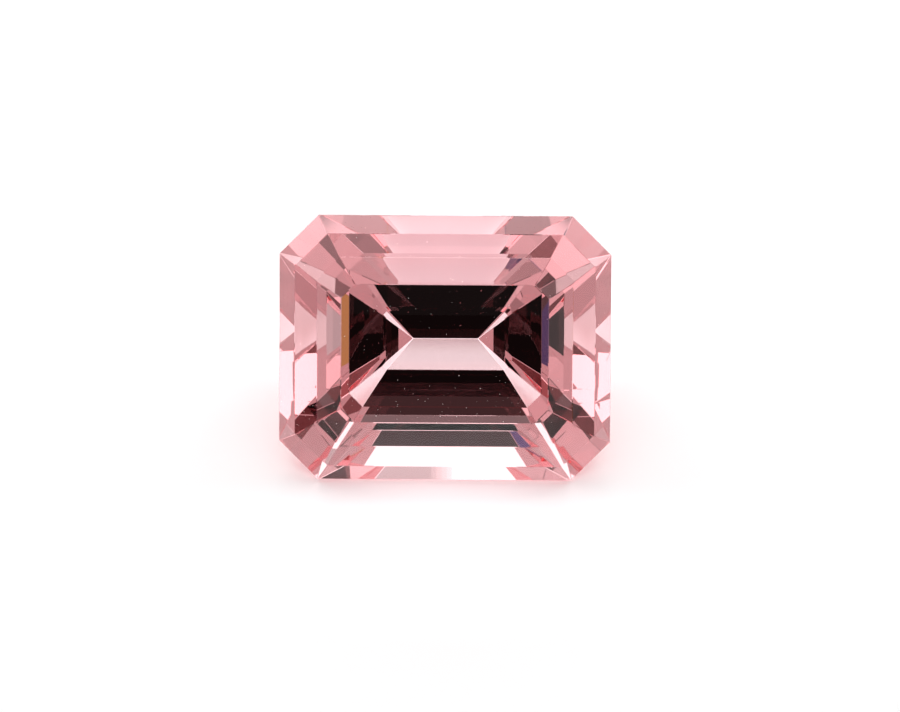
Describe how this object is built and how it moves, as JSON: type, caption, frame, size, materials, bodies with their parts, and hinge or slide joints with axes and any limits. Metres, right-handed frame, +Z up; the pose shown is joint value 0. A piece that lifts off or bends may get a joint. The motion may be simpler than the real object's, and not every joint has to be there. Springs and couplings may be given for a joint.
{
  "type": "step-cut morganite gemstone",
  "caption": "Loose pale pink gemstone, octagonal step cut with a flat table, a stepped crown, a thin girdle and a stepped pavilion that ends in a keel. It lies on a pavilion facet.",
  "frame": {"origin": "on the surface that the stone lies on, under the middle of its bounding box", "axes": "+X along the stone's length, +Z up, and the table faces -Y and up"},
  "size_m": [0.015, 0.0092, 0.0093],
  "materials": {
    "stone": "polished"
  },
  "bodies": {
    "root": {"morganite": "stone"}
  },
  "joints": []
}
